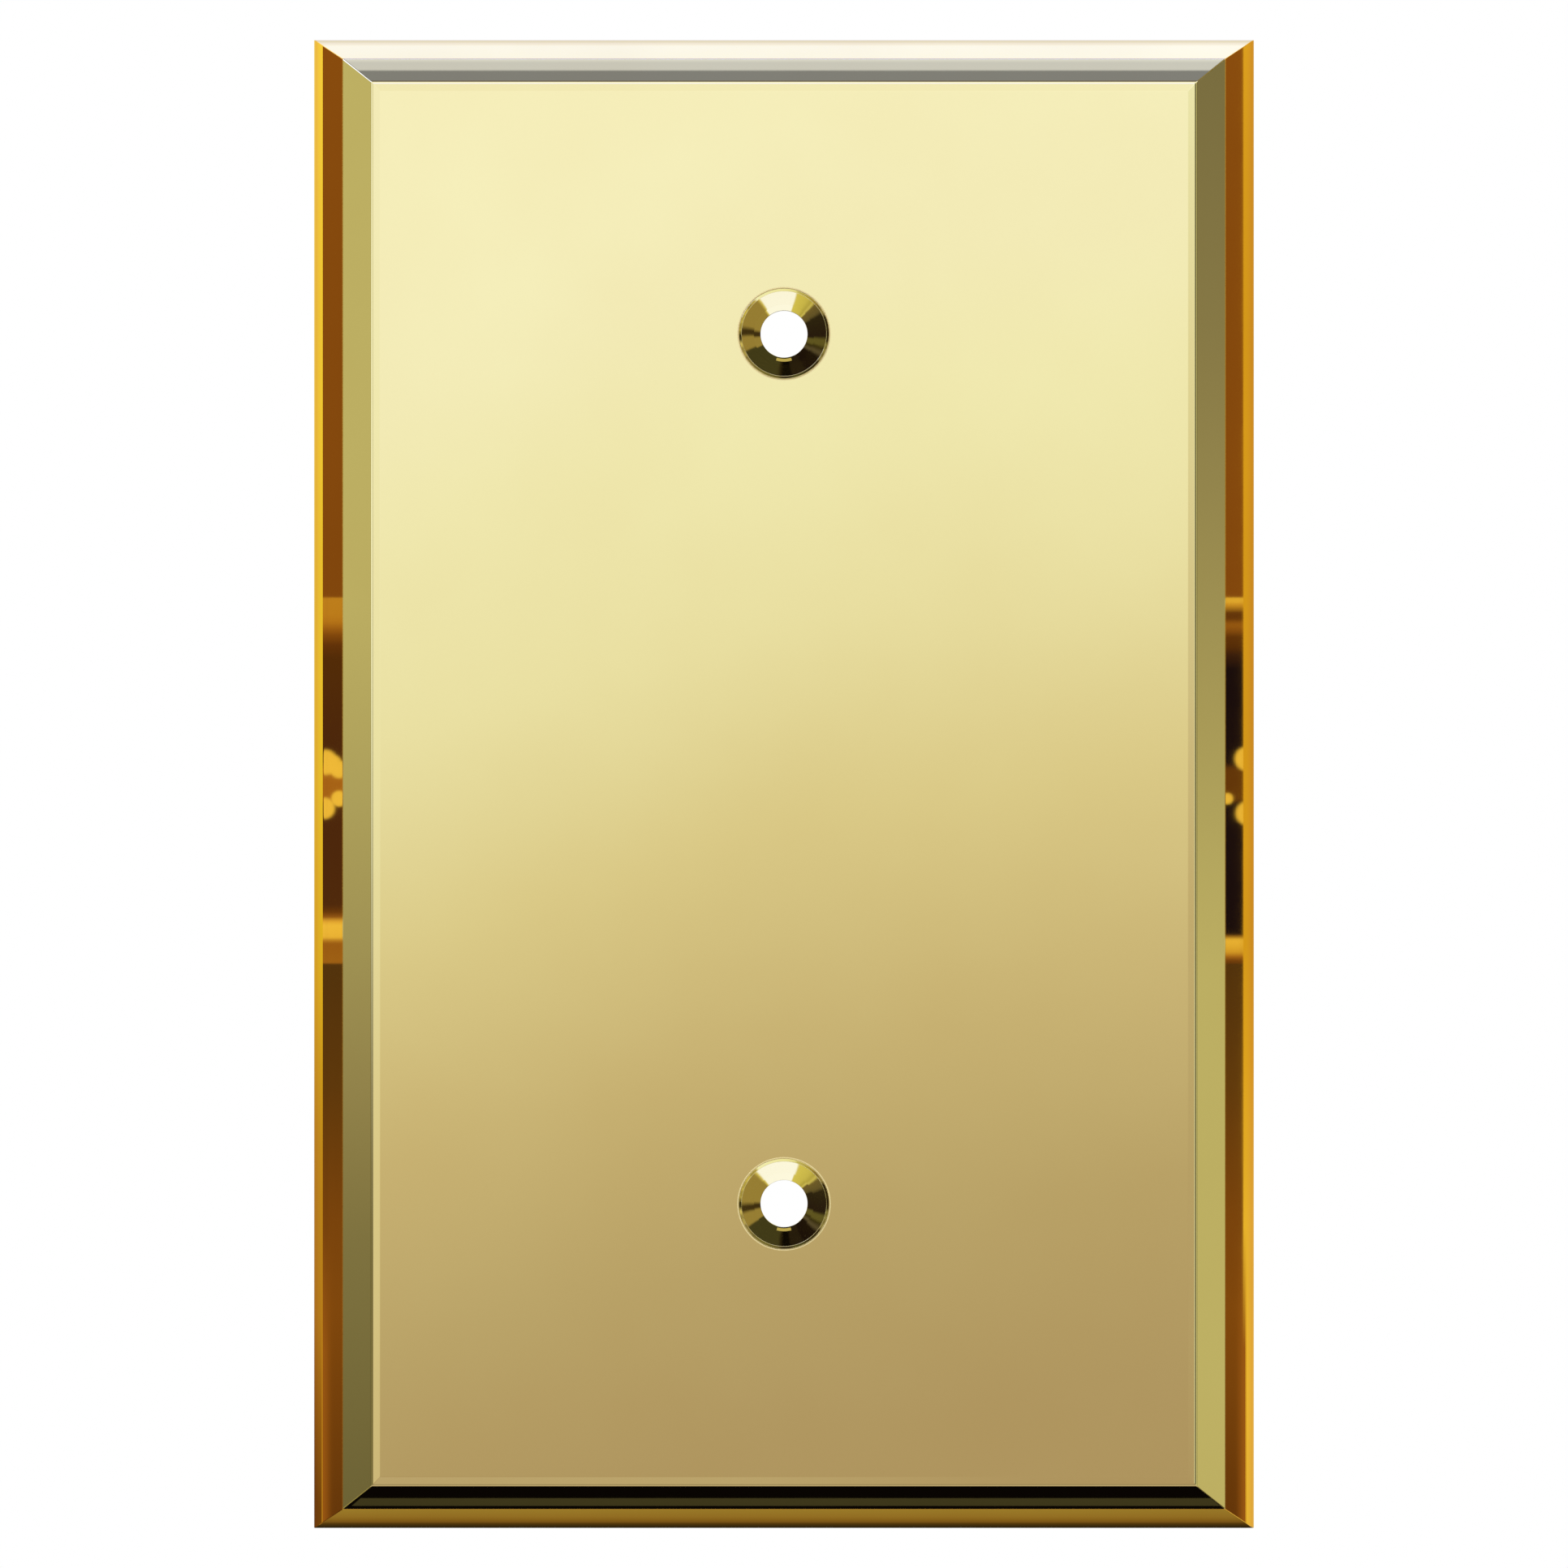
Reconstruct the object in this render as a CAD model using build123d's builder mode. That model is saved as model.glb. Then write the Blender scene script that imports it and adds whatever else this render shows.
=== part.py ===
"""Blank cover plate in two tones of polished brass, held to a wall box by two countersunk screws.

A pale face plate with bevelled borders drops into a deep gold rim frame. A pressed steel
backing plate traps the frame's lip behind the face plate. Two turned screw cups pass through
both plates, and a push-on washer behind each one clamps the stack together.

Lengths are millimetres. X runs across the width, Z up the height, and the front faces -Y.
The origin is the middle of the wall plane, and every height below is measured from that plane.
"""

import os
from math import atan2, pi, radians, tan

from build123d import *

# outside of the plate
plate_width = 90.2
plate_height = 142.8

# rim frame: a land off the wall, a rounded corner, then a bevel that climbs to the seam
land_height = 1.75
rim_bevel_rise = 2.75
side_bevel_run = 2.73
end_bevel_run = 1.94
rim_corner_radius = 3.1
crest_width = 0.12
rim_wall = 2.4
rim_lip_reach = 4.0
rim_lip_thickness = 1.2
pocket_corner_radius = 1.5
opening_corner_radius = 3.0

# face plate: one facet along each edge, then a shallow border round the flat
face_edge = 0.5
side_facet_run = 2.77
end_facet_run = 2.2
facet_rise = 1.46
side_border = 0.85
end_border = 0.93
border_rise = 0.04

# screw holes, a standard box spacing apart, and a little above the middle of the plate
screw_spacing = 83.34
screw_rise = 1.46

# screw cups
throat_radius = 2.25
mouth_radius = 3.88
lip_radius = 4.34
lip_rise = 0.2
cone_angle = 82.0
flange_thickness = 0.5
body_radius = 3.85
barrel_radius = 3.1
barrel_stand = 0.6
barrel_chamfer = 0.2
recess_arris = 0.08

# backing plate
steel_thickness = 0.8
joggle_angle = 20.0
bend_radius = 0.3

# push-on washers
washer_rim = 2.3
washer_thickness = 0.4
washer_slots = 8
slot_depth = 1.1
slot_width = 0.7

# fits
seam_gap = 0.08
tray_gap = 0.3
cup_gap = 0.04
barrel_gap = 0.1
washer_gap = 0.05

# heights above the wall
seam_height = land_height + rim_bevel_rise
border_height = seam_height + facet_rise
face_height = border_height + border_rise
face_back = seam_height - face_edge
lip_back = face_back - rim_lip_thickness
tray_back = lip_back - steel_thickness
pad_back = face_back - steel_thickness
washer_back = pad_back - washer_thickness
barrel_end = washer_back - barrel_stand
flange_seat = face_height - flange_thickness
mouth_height = face_height + lip_rise
throat_height = mouth_height - (mouth_radius - throat_radius) / tan(radians(cone_angle / 2))

# how far in from the plate's edges the inner pieces stand
lip_inset = rim_wall + rim_lip_reach
tray_inset = rim_wall + tray_gap
pad_inset = lip_inset + tray_gap

screw_heights = {
    "upper": screw_rise + screw_spacing / 2,
    "lower": screw_rise - screw_spacing / 2,
}
screw_centres = [(0, height) for height in screw_heights.values()]

# section planes, both drawn with their second axis pointing away from the wall
across_width = Plane(origin=(0, 0, 0), x_dir=(1, 0, 0), z_dir=(0, 0, -1))
across_height = Plane(origin=(0, 0, 0), x_dir=(0, 0, 1), z_dir=(1, 0, 0))


def wall_plane(height):
    """A plane parallel to the wall, this far in front of it."""
    return Plane.XZ.offset(height)


def inset_outline(height, inset, corner_radius):
    """A round-cornered rectangle parallel to the plate's edges, at a height above the wall."""
    with BuildSketch(wall_plane(height)) as outline:
        RectangleRounded(plate_width - 2 * inset, plate_height - 2 * inset, corner_radius)
    return outline.sketch


def screw_holes(height, radius):
    """One circle at each screw centre, at a height above the wall."""
    with BuildSketch(wall_plane(height)) as holes:
        with Locations(*screw_centres):
            Circle(radius)
    return holes.sketch


def rim_section(plane, half_span, bevel_run):
    """The outside of the rim frame: land, rounded corner, bevel and the narrow crest at the seam."""
    crest = half_span - bevel_run
    bevel_angle = atan2(rim_bevel_rise, bevel_run - crest_width)
    largest_radius = 0.9 * land_height / tan((pi / 2 - bevel_angle) / 2)
    with BuildSketch(plane) as section:
        with BuildLine():
            Polyline(
                (0, 0),
                (half_span, 0),
                (half_span, land_height),
                (crest + crest_width, seam_height),
                (0, seam_height),
            )
            mirror(about=Plane.YZ)
        make_face()
        bevel_feet = section.vertices().filter_by_position(Axis.Y, land_height, land_height)
        fillet(bevel_feet, radius=min(rim_corner_radius, largest_radius))
    return section.sketch


def face_section(plane, half_span, bevel_run, facets):
    """The face plate's section: a square edge at the seam, then each facet as a run and a rise."""
    edge = half_span - bevel_run - seam_gap
    points = [(0, face_back), (edge, face_back), (edge, seam_height)]
    reach = half_span - bevel_run
    height = seam_height
    for run, rise in facets:
        reach -= run
        height += rise
        points.append((reach, height))
    points.append((0, height))
    with BuildSketch(plane) as section:
        with BuildLine():
            Polyline(*points)
            mirror(about=Plane.YZ)
        make_face()
    return section.sketch


# rim frame: the two sections crossed, so its corners are mitred
rim_across_width = rim_section(across_width, plate_width / 2, side_bevel_run)
rim_across_height = rim_section(across_height, plate_height / 2, end_bevel_run)
with BuildPart() as rim_frame:
    extrude(rim_across_width, amount=plate_height, both=True)
    extrude(rim_across_height, amount=plate_width, both=True, mode=Mode.INTERSECT)
    # rebate for the face plate
    with BuildSketch(wall_plane(face_back)):
        Rectangle(plate_width - 2 * side_bevel_run, plate_height - 2 * end_bevel_run)
    extrude(amount=face_edge, mode=Mode.SUBTRACT)
    # opening inside the lip, and the hollow behind it
    lip_opening = inset_outline(0, lip_inset, opening_corner_radius)
    extrude(lip_opening, amount=seam_height, mode=Mode.SUBTRACT)
    hollow = inset_outline(0, rim_wall, pocket_corner_radius)
    extrude(hollow, amount=lip_back, mode=Mode.SUBTRACT)

# face plate: mitred the same way, with a recess and a clearance hole for each screw cup
side_facets = [(side_facet_run, facet_rise), (side_border, border_rise)]
end_facets = [(end_facet_run, facet_rise), (end_border, border_rise)]
face_across_width = face_section(across_width, plate_width / 2, side_bevel_run, side_facets)
face_across_height = face_section(across_height, plate_height / 2, end_bevel_run, end_facets)
with BuildPart() as face_plate:
    extrude(face_across_width, amount=plate_height, both=True)
    extrude(face_across_height, amount=plate_width, both=True, mode=Mode.INTERSECT)
    body_holes = screw_holes(face_back, body_radius + cup_gap)
    extrude(body_holes, amount=face_height - face_back, mode=Mode.SUBTRACT)
    flange_recesses = screw_holes(flange_seat, lip_radius + cup_gap)
    extrude(flange_recesses, amount=flange_thickness, mode=Mode.SUBTRACT)
    recess_rims = face_plate.edges().filter_by(GeomType.CIRCLE).group_by(Axis.Y)[0]
    fillet(recess_rims, radius=recess_arris)

# backing plate: a flat border behind the lip, joggled forward to a pad behind the face plate
pad_outline = inset_outline(lip_back, pad_inset, opening_corner_radius)
dish_outline = inset_outline(tray_back, pad_inset + steel_thickness, opening_corner_radius)
with BuildPart() as backing_plate:
    extrude(inset_outline(tray_back, tray_inset, pocket_corner_radius), amount=steel_thickness)
    extrude(pad_outline, amount=face_back - lip_back, taper=joggle_angle)
    pad_edges = backing_plate.faces().sort_by(Axis.Y)[0].outer_wire().edges()
    fillet(pad_edges, radius=bend_radius)
    extrude(dish_outline, amount=pad_back - tray_back, taper=joggle_angle, mode=Mode.SUBTRACT)
    dish_edges = backing_plate.faces().sort_by(Axis.Y)[-1].inner_wires()[0].edges()
    fillet(dish_edges, radius=bend_radius)
    barrel_holes = screw_holes(pad_back, barrel_radius + barrel_gap)
    extrude(barrel_holes, amount=steel_thickness, mode=Mode.SUBTRACT)


def screw_cup(height):
    """A turned cup: raised lip, countersunk cone, and a barrel that reaches behind the backing plate."""
    with BuildPart() as cup:
        with BuildSketch(Plane(origin=(0, 0, height), x_dir=(1, 0, 0), z_dir=(0, 0, -1))):
            with BuildLine():
                Polyline(
                    (throat_radius, barrel_end),
                    (barrel_radius - barrel_chamfer, barrel_end),
                    (barrel_radius, barrel_end + barrel_chamfer),
                    (barrel_radius, face_back),
                    (body_radius, face_back),
                    (body_radius, flange_seat),
                    (lip_radius, flange_seat),
                    (lip_radius, face_height),
                    (mouth_radius, mouth_height),
                    (throat_radius, throat_height),
                    close=True,
                )
            make_face()
        revolve(axis=Axis((0, 0, height), (0, -1, 0)))
    return cup.part


def lock_washer(height):
    """A push-on washer whose slotted inner edge springs onto the cup's barrel."""
    bore_radius = barrel_radius + washer_gap
    with BuildPart() as washer:
        with BuildSketch(Plane(origin=(0, -washer_back, height), x_dir=(1, 0, 0), z_dir=(0, -1, 0))):
            Circle(barrel_radius + washer_rim)
            Circle(bore_radius, mode=Mode.SUBTRACT)
            with PolarLocations(bore_radius, washer_slots):
                SlotCenterToCenter(2 * slot_depth - slot_width, slot_width, mode=Mode.SUBTRACT)
        extrude(amount=washer_thickness)
    return washer.part


pieces = {
    "rim_frame": rim_frame.part,
    "face_plate": face_plate.part,
    "backing_plate": backing_plate.part,
}
for place, height in screw_heights.items():
    pieces[f"{place}_screw_cup"] = screw_cup(height)
    pieces[f"{place}_lock_washer"] = lock_washer(height)

os.makedirs("parts", exist_ok=True)
for name, piece in pieces.items():
    piece.label = name
    export_step(piece, f"parts/{name}.step")
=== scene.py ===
"""Dresses a blank cover plate: a deep gold rim, a pale polished face, two turned screw cups,
and the zinc-plated backing and sprung washers behind them, in a small white studio.

Blender units are metres. Section sizes are written in millimetres and turned into metres once.
X runs across the plate, Z up it, the front faces -Y, and the wall plane is y = 0.
"""

import math

import bpy
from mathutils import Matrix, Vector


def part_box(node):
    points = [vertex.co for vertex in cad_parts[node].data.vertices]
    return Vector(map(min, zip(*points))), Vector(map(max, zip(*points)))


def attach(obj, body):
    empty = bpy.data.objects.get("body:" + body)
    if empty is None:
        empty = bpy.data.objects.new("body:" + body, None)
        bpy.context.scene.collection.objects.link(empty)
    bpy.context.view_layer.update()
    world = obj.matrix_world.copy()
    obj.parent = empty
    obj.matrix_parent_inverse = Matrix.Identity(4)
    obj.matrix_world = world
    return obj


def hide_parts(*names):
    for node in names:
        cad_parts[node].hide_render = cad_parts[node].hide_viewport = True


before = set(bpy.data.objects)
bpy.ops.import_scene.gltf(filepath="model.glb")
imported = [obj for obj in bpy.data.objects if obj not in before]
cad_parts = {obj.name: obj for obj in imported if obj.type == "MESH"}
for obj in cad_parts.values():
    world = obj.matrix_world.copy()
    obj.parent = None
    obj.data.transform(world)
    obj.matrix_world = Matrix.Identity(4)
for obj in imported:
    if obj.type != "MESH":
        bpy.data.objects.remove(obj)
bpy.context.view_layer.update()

MM = 0.001

# ---- sizes in millimetres, the outer ones read from the frame ----

rim_low, rim_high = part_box("rim_frame")
face_low, face_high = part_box("face_plate")
HALF_WIDTH = (rim_high[0] - rim_low[0]) / 2 / MM
HALF_HEIGHT = (rim_high[2] - rim_low[2]) / 2 / MM
SEAM_HEIGHT = -rim_low[1] / MM
FACE_HEIGHT = -face_low[1] / MM
FACE_BACK = -face_high[1] / MM
# the holes' heights stay in metres
HOLE_HEIGHTS = {}
for place in ("upper", "lower"):
    low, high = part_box(f"{place}_screw_cup")
    HOLE_HEIGHTS[place] = (low[2] + high[2]) / 2

# rim frame section
LAND_HEIGHT = 1.75
LAND_ROUNDING = 3.1
SIDE_RUN = 2.79
END_RUN = 1.89
CREST = 0.005
LIP_INSET = 6.4
LIP_BACK = 2.8
HOLLOW_INSET = 2.4
LIP_CORNER = 3.0
HOLLOW_CORNER = 1.5

# face plate section
SEAM_GAP = 0.015
BORDER_HEIGHT = 5.96
SIDE_FACET = 2.83
END_FACET = 2.29
SIDE_BORDER = 0.77
END_BORDER = 0.85

# screw cups and the pockets they sit in
THROAT = 2.25
MOUTH = 4.07
LIP = 4.32
CUP_BODY = 3.85
BARREL = 3.1
BARREL_CHAMFER = 0.2
MOUTH_HEIGHT = 6.2
THROAT_HEIGHT = 4.106
LIP_EDGE = 0.092
FLANGE_SEAT = 5.5
BARREL_END = 2.2
CUP_GAP = 0.01
POCKET_ARRIS = 0.07

# the painted highlight ring round the front edge of each pocket: its width, and the heights between
# which it fades in
HIGHLIGHT_RING_WIDTH = 0.08
HIGHLIGHT_RING_BACK = 5.6
HIGHLIGHT_RING_FRONT = 5.7
# the heights between which the brass turns from milled to polished
MILLED_BACK = 3.6
MILLED_FRONT = 3.9

# push-on washers
WASHER_RADIUS = 5.4
WASHER_BORE = 3.15
WASHER_BACK = 2.8
WASHER_THICKNESS = 0.4
TEETH = 8
SLOT_DEPTH = 1.1
SLOT_WIDTH = 0.7
TOOTH_RISE = 0.22
TOOTH_RING = 0.3
TOOTH_ROOT = 4.5

# hand of the polisher: how far each kind of edge is eased
MITRE_EASE = 0.06
SEAM_MITRE_EASE = 0.12
ARRIS_MITRE_EASE = 0.08
BORDER_MITRE_EASE = 0.03
ARRIS_EASE = 0.22
BORDER_EASE = 0.06
SEAM_EASE = 0.008
EDGE_EASE = 0.05
LIP_BACK_EASE = 0.1
CUP_EASING = [0.008, 0.05, 0.05, 0, 0.05, 0, 0, 0.03, 0.02, 0.008]

# a guard point stands this many eases from its corner
GUARD = 1.35
# faces over this many square millimetres, or this square on to the front, are shaded flat
BROAD_FLAT = 50.0
SQUARE_ON = 0.9999995
# an edge that turns by more is left sharp
CREASE = math.radians(30)
# points closer than this many metres are one
WELD = 1e-6
# the turn that stands something flat upright, facing the front
QUARTER_OVER = (math.pi / 2, 0, 0)


# ---- sections ----


def eased(points, ease, steps=4):
    """Rounds each corner of an open section that has an ease, by a short even curve.

    A point is (half width, half height, height, corner radius); ease gives one length a point.
    A guard point stands just outside each end of a curve, to keep the flats beside it flat.
    """
    rounded = []
    for index, point in enumerate(points):
        length = ease[index]
        if length == 0:
            rounded.append(point)
            continue
        before, after = points[index - 1], points[(index + 1) % len(points)]
        ends, guards = [], []
        for other in (before, after):
            reach = math.dist(point[:3], other[:3])
            share = min(length / reach, 0.45)
            ends.append([p + (o - p) * share for p, o in zip(point, other)])
            guard = tuple(p + (o - p) * share * GUARD for p, o in zip(point, other))
            guards.append([guard] if share * GUARD < 0.5 else [])
        rounded += guards[0]
        for step in range(steps + 1):
            t = step / steps
            weights = ((1 - t) ** 2, 2 * t * (1 - t), t**2)
            corners = zip(ends[0], point, ends[1])
            rounded.append(tuple(sum(w * c for w, c in zip(weights, trio)) for trio in corners))
        rounded += guards[1]
    return rounded


def land_inset(height, bevel_run):
    """How far in the rim's outside stands at a height: upright land, rounded corner, bevel."""
    run = bevel_run - CREST
    rise = SEAM_HEIGHT - LAND_HEIGHT
    turn = math.pi / 2 - math.atan2(rise, run)
    start = LAND_HEIGHT - LAND_ROUNDING * math.tan(turn / 2)
    end = start + LAND_ROUNDING * math.sin(turn)
    if height <= start:
        return 0.0
    if height < end:
        return LAND_ROUNDING - math.sqrt(LAND_ROUNDING**2 - (height - start) ** 2)
    return run - (SEAM_HEIGHT - height) * run / rise


def inset_row(side, end, height, corner):
    """One row of a section: how far it stands in from the plate's sides and ends."""
    return (HALF_WIDTH - side, HALF_HEIGHT - end, height, corner)


def round_row(radius, height):
    """One row of a turned section."""
    return (radius, radius, height, radius)


def rim_section():
    """The rim frame's closed section, from the wall up its outside and back down its hollow."""
    round_low, round_high, round_steps = 0.5, 2.7, 26
    rise = round_high - round_low
    heights = [round_low + rise * step / round_steps for step in range(round_steps + 1)]
    guard = round_high + 0.1
    outside = [inset_row(0, 0, 0, MITRE_EASE)]
    for height in heights + [guard]:
        insets = land_inset(height, SIDE_RUN), land_inset(height, END_RUN)
        outside.append(inset_row(*insets, height, MITRE_EASE))
    crest_insets = SIDE_RUN - CREST, END_RUN - CREST
    crest_and_hollow = [
        outside[-1],
        inset_row(*crest_insets, SEAM_HEIGHT, MITRE_EASE),
        inset_row(*crest_insets, FACE_BACK, MITRE_EASE),
        inset_row(LIP_INSET, LIP_INSET, FACE_BACK, LIP_CORNER),
        inset_row(LIP_INSET, LIP_INSET, LIP_BACK, LIP_CORNER),
        inset_row(HOLLOW_INSET, HOLLOW_INSET, LIP_BACK, HOLLOW_CORNER),
        inset_row(HOLLOW_INSET, HOLLOW_INSET, 0, HOLLOW_CORNER),
        outside[0],
    ]
    lip = LIP_BACK_EASE
    return outside[:-1] + eased(crest_and_hollow, [0, SEAM_EASE, 0, lip, lip, 0, lip, 0])


def face_section():
    """The face plate's section: from the middle of its back round its edge to its front."""
    edge_side, edge_end = SIDE_RUN + SEAM_GAP, END_RUN + SEAM_GAP
    facet_side, facet_end = SIDE_RUN + SIDE_FACET, END_RUN + END_FACET
    points = [
        (0, 0, FACE_BACK, 0),
        inset_row(edge_side, edge_end, FACE_BACK, SEAM_MITRE_EASE),
        inset_row(edge_side, edge_end, SEAM_HEIGHT, SEAM_MITRE_EASE),
        inset_row(facet_side, facet_end, BORDER_HEIGHT, ARRIS_MITRE_EASE),
        inset_row(
            facet_side + SIDE_BORDER, facet_end + END_BORDER, FACE_HEIGHT, BORDER_MITRE_EASE
        ),
        (0, 0, FACE_HEIGHT, 0),
    ]
    return eased(points, [0, EDGE_EASE, EDGE_EASE, ARRIS_EASE, BORDER_EASE, 0], steps=6)


def pocket_section():
    """The tool that cuts a cup's pocket: the hole through, the flange recess, its eased rim."""
    recess = LIP + CUP_GAP
    below, above = FACE_BACK - 0.5, FACE_HEIGHT + 0.3
    rows = [
        round_row(0, below),
        round_row(CUP_BODY + CUP_GAP, below),
        round_row(CUP_BODY + CUP_GAP, FLANGE_SEAT),
        round_row(recess, FLANGE_SEAT),
    ]
    arc_steps = 6
    for step in range(arc_steps + 1):
        angle = math.pi / 2 * step / arc_steps
        radius = recess + POCKET_ARRIS * (1 - math.cos(angle))
        rows.append(round_row(radius, FACE_HEIGHT - POCKET_ARRIS * (1 - math.sin(angle))))
    return rows + [round_row(recess + POCKET_ARRIS, above), round_row(0, above)]


def cup_section():
    """The turned cup's closed section: barrel, flange, raised lip and countersunk cone."""
    points = [
        round_row(THROAT, BARREL_END),
        round_row(BARREL - BARREL_CHAMFER, BARREL_END),
        round_row(BARREL, BARREL_END + BARREL_CHAMFER),
        round_row(BARREL, FACE_BACK),
        round_row(CUP_BODY, FACE_BACK),
        round_row(CUP_BODY, FLANGE_SEAT),
        round_row(LIP, FLANGE_SEAT),
        round_row(LIP, FACE_HEIGHT + LIP_EDGE),
        round_row(MOUTH, MOUTH_HEIGHT),
        round_row(THROAT, THROAT_HEIGHT),
    ]
    rows = eased(points, CUP_EASING)
    return rows + rows[:1]


def washer_section():
    """The blank of a push-on washer, with rings enough for its teeth to bend."""
    front = WASHER_BACK + WASHER_THICKNESS
    rings = [WASHER_BORE + TOOTH_RING * step for step in range(4)] + [TOOTH_ROOT, WASHER_RADIUS]
    rows = [round_row(radius, WASHER_BACK) for radius in rings]
    rows += [round_row(radius, front) for radius in reversed(rings)]
    inner = [0] * (len(rings) - 1)
    rows = eased(rows, inner + [EDGE_EASE, EDGE_EASE] + inner)
    return rows + rows[:1]


# ---- node trees that loft the sections ----


class Wiring:
    """Short calls that add, fill and link the nodes of one tree."""

    def __init__(self, node_tree):
        self.nodes = node_tree.nodes
        self.links = node_tree.links

    def node(self, kind, sockets=None, **settings):
        """Adds a node, sets its properties, and links or fills its sockets."""
        node = self.nodes.new(kind)
        for key, value in settings.items():
            setattr(node, key, value)
        for key, value in (sockets or {}).items():
            self.put(node.inputs[key], value)
        return node

    def put(self, socket, value):
        """Links a socket to another node's output, or fills it with a plain value."""
        if isinstance(value, bpy.types.NodeSocket):
            self.links.new(value, socket)
        else:
            socket.default_value = value

    def math(self, operation, *values):
        sockets = dict(enumerate(values))
        return self.node("ShaderNodeMath", sockets, operation=operation).outputs[0]

    def spread(self, value, low, high, to_low=0, to_high=1, smooth=False):
        """Turns a run from low to high into one from to_low to to_high, held at both ends."""
        sockets = dict(enumerate((value, low, high, to_low, to_high)))
        kind = "SMOOTHSTEP" if smooth else "LINEAR"
        return self.node("ShaderNodeMapRange", sockets, interpolation_type=kind).outputs[0]

    def times(self, first, second):
        return self.math("MULTIPLY", first, second)

    def vector(self, **axes):
        """A vector made of the axes given, with nothing along the others."""
        return self.node("ShaderNodeCombineXYZ", axes).outputs[0]

    def split(self, vector):
        """The X, Y and Z of a vector."""
        return self.node("ShaderNodeSeparateXYZ", {0: vector}).outputs


class Tree(Wiring):
    """A Geometry Nodes tree: a section and a finish go in, with more named inputs between them,
    and one geometry comes out.
    """

    def __init__(self, name, sockets):
        self.group = bpy.data.node_groups.new(name, "GeometryNodeTree")
        super().__init__(self.group)
        self.identifiers = {}
        every = {"Section": "Geometry", **sockets, "Finish": "Material"}
        for label, kind in every.items():
            item = self.group.interface.new_socket(
                label, in_out="INPUT", socket_type=f"NodeSocket{kind}"
            )
            self.identifiers[label] = item.identifier
        self.group.interface.new_socket(
            "Geometry", in_out="OUTPUT", socket_type="NodeSocketGeometry"
        )
        self.inputs = self.node("NodeGroupInput").outputs
        self.result = self.node("NodeGroupOutput").inputs[0]

    def step(self, kind, sockets=None, **settings):
        """Adds a Geometry Nodes node, and gives its first output."""
        return self.node(f"GeometryNode{kind}", sockets, **settings).outputs[0]

    def cut(self, body, tool):
        """Cuts a tool out of a body."""
        sockets = {"Mesh 1": body, "Mesh 2": tool}
        return self.step("MeshBoolean", sockets, operation="DIFFERENCE", solver="EXACT")


def ring_loft_tree():
    """Lofts rounded rectangles, one for each point of a section, into one skin."""
    tree = Tree("ring_loft", {"Corner Steps": "Int"})
    section = tree.inputs["Section"]
    steps = tree.inputs["Corner Steps"]
    math_node = tree.math

    size = tree.node("GeometryNodeAttributeDomainSize", {"Geometry": section}, component="MESH")
    rows = size.outputs["Point Count"]
    per_corner = math_node("ADD", steps, 1)
    last_column = tree.times(per_corner, 4)
    columns = math_node("ADD", last_column, 1)
    last_row = math_node("SUBTRACT", rows, 1)
    grid = tree.step(
        "MeshGrid",
        {"Size X": last_column, "Size Y": last_row, "Vertices X": columns, "Vertices Y": rows},
    )
    place = tree.step("InputPosition")
    where = tree.split(place)
    half_across, half_up = (math_node("DIVIDE", span, 2) for span in (last_column, last_row))
    column = math_node("ROUND", math_node("ADD", where[0], half_across))
    row = math_node("ROUND", math_node("ADD", where[1], half_up))

    # each grid row stands for one point of the section, each column for one turn round the ring
    corner = tree.step("InputNamedAttribute", {"Name": "corner"}, data_type="FLOAT")
    point, radius = (
        tree.step(
            "SampleIndex", {"Geometry": section, "Index": row, "Value": value}, data_type=kind
        )
        for value, kind in ((place, "FLOAT_VECTOR"), (corner, "FLOAT"))
    )
    spans = tree.split(point)
    quarter = math_node("FLOOR", math_node("DIVIDE", column, per_corner))
    step = math_node("SUBTRACT", column, tree.times(quarter, per_corner))
    turns = math_node("ADD", quarter, math_node("DIVIDE", step, steps))
    angle = tree.times(turns, math.pi / 2)
    diagonal = math_node("MULTIPLY_ADD", quarter, math.pi / 2, math.pi / 4)
    reach = []
    for wave, span in (("COSINE", spans[0]), ("SINE", spans[1])):
        side = tree.times(math_node(wave, diagonal), math.sqrt(2))
        centre = tree.times(side, math_node("SUBTRACT", span, radius))
        reach.append(math_node("MULTIPLY_ADD", math_node(wave, angle), radius, centre))
    spot = tree.vector(X=reach[0], Y=tree.times(spans[2], -1), Z=reach[1])
    moved = tree.step("SetPosition", {"Geometry": grid, "Position": spot})
    finish(tree, tree.step("MergeByDistance", {"Geometry": moved, "Distance": WELD}))
    return tree


def finish(tree, geometry):
    """Shades smooth but for creases and flats, then Realize Instances and Set Material."""
    crisp = tree.math("GREATER_THAN", tree.step("InputMeshEdgeAngle"), CREASE)
    broad = tree.math("GREATER_THAN", tree.step("InputMeshFaceArea"), BROAD_FLAT * MM**2)
    front = tree.math("LESS_THAN", tree.split(tree.step("InputNormal"))[1], -SQUARE_ON)
    flat = tree.math("MAXIMUM", broad, front)
    geometry = tree.step("SetShadeSmooth", {"Geometry": geometry}, domain="FACE")
    for domain, selection in (("EDGE", crisp), ("FACE", flat)):
        sockets = {"Geometry": geometry, "Selection": selection, "Shade Smooth": False}
        geometry = tree.step("SetShadeSmooth", sockets, domain=domain)
    real = tree.step("RealizeInstances", {"Geometry": geometry})
    painted = tree.step("SetMaterial", {"Geometry": real, "Material": tree.inputs["Finish"]})
    tree.put(tree.result, painted)


def loft(tree, section, steps):
    """The ring loft used inside another tree."""
    node = tree.node("GeometryNodeGroup", node_tree=ring_loft.group)
    tree.put(node.inputs["Section"], section)
    tree.put(node.inputs["Corner Steps"], steps)
    return node.outputs[0]


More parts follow.
